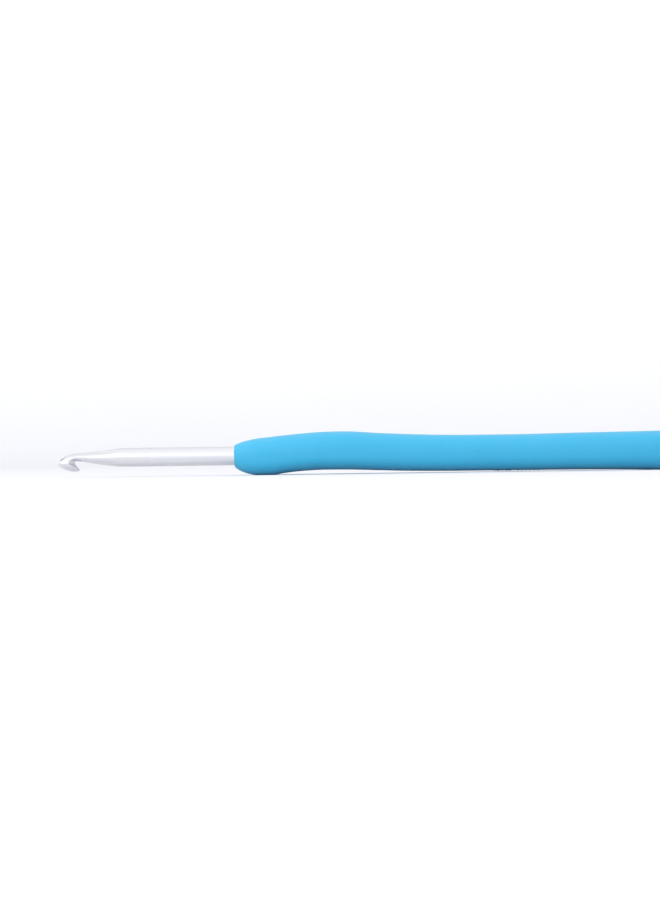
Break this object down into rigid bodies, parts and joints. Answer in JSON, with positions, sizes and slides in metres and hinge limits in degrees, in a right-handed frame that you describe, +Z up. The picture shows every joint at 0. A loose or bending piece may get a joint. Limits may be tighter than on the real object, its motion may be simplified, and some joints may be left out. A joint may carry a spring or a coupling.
{
  "type": "crochet hook",
  "caption": "Crochet hook with a tapered throat, a pointed head and an oval soft-grip handle with a thumb rest and a finger swell.",
  "frame": {"origin": "centre of the bounding box in plan, on the surface that the hook rests on", "axes": "+X from the tip of the head to the tail of the handle, +Z up, with the mouth of the head facing down, and +Y across the handle's width, away from a viewer who sees the tip on their left"},
  "size_m": [0.14, 0.011, 0.0091],
  "materials": {
    "hook_metal": "satin",
    "core_plastic": "matte",
    "grip_rubber": "matte"
  },
  "bodies": {
    "root": {"hook_shaft": "hook_metal", "handle_core": "core_plastic", "soft_grip": "grip_rubber"}
  },
  "joints": []
}
